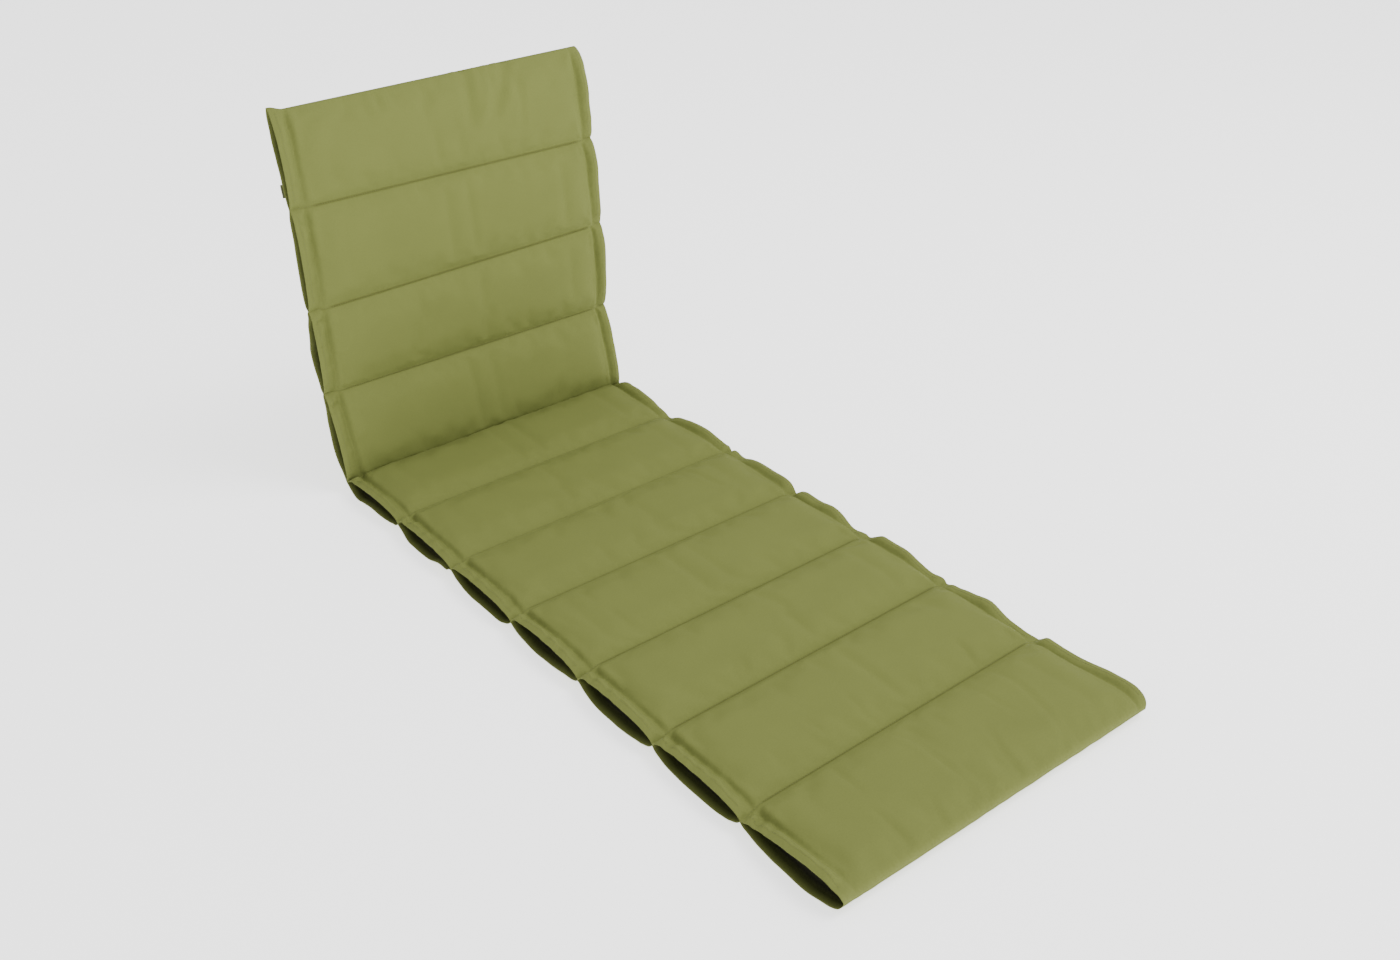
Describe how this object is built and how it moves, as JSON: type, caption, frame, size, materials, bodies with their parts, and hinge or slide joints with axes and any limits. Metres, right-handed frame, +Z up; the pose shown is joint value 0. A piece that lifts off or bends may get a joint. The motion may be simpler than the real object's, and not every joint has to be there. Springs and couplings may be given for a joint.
{
  "type": "sun lounger cushion",
  "caption": "Long quilted lounger pad of woven outdoor cloth in cross channels with open hemmed sleeve ends, its seat flat and its back raised.",
  "frame": {"origin": "centre of the footprint, on the surface that the seat lies on", "axes": "+Z up, -Y from the back towards the foot end, +X to the right as seen from the foot end"},
  "size_m": [0.6126, 1.396, 0.6875],
  "materials": {
    "cover_cloth": "matt plain-woven polyester outdoor cloth, olive green",
    "band": "matt flat woven band, dark olive"
  },
  "bodies": {
    "root": {"cushion": "cover_cloth", "band_end": "band"}
  },
  "joints": []
}
